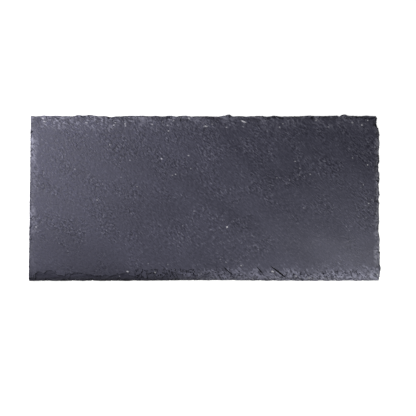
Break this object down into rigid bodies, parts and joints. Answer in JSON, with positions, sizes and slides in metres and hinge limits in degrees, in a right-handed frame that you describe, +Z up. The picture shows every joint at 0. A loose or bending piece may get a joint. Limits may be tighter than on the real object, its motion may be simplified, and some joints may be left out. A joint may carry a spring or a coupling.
{
  "type": "slate slab",
  "caption": "Thin oblong slab of dark blue-grey slate with a riven upper face, flaked dressed edges and a flat underside to rest on.",
  "frame": {"origin": "on the underside, under the middle of the slab's outline", "axes": "+X along the length, towards the edge with the scalloped rim; +Y towards the back edge, the top edge in the picture; +Z up out of the riven face"},
  "size_m": [0.3008, 0.142, 0.006],
  "materials": {
    "slate": "dry riven slate, dark blue-grey with a faint sheen"
  },
  "bodies": {
    "root": {"slab": "slate"}
  },
  "joints": []
}
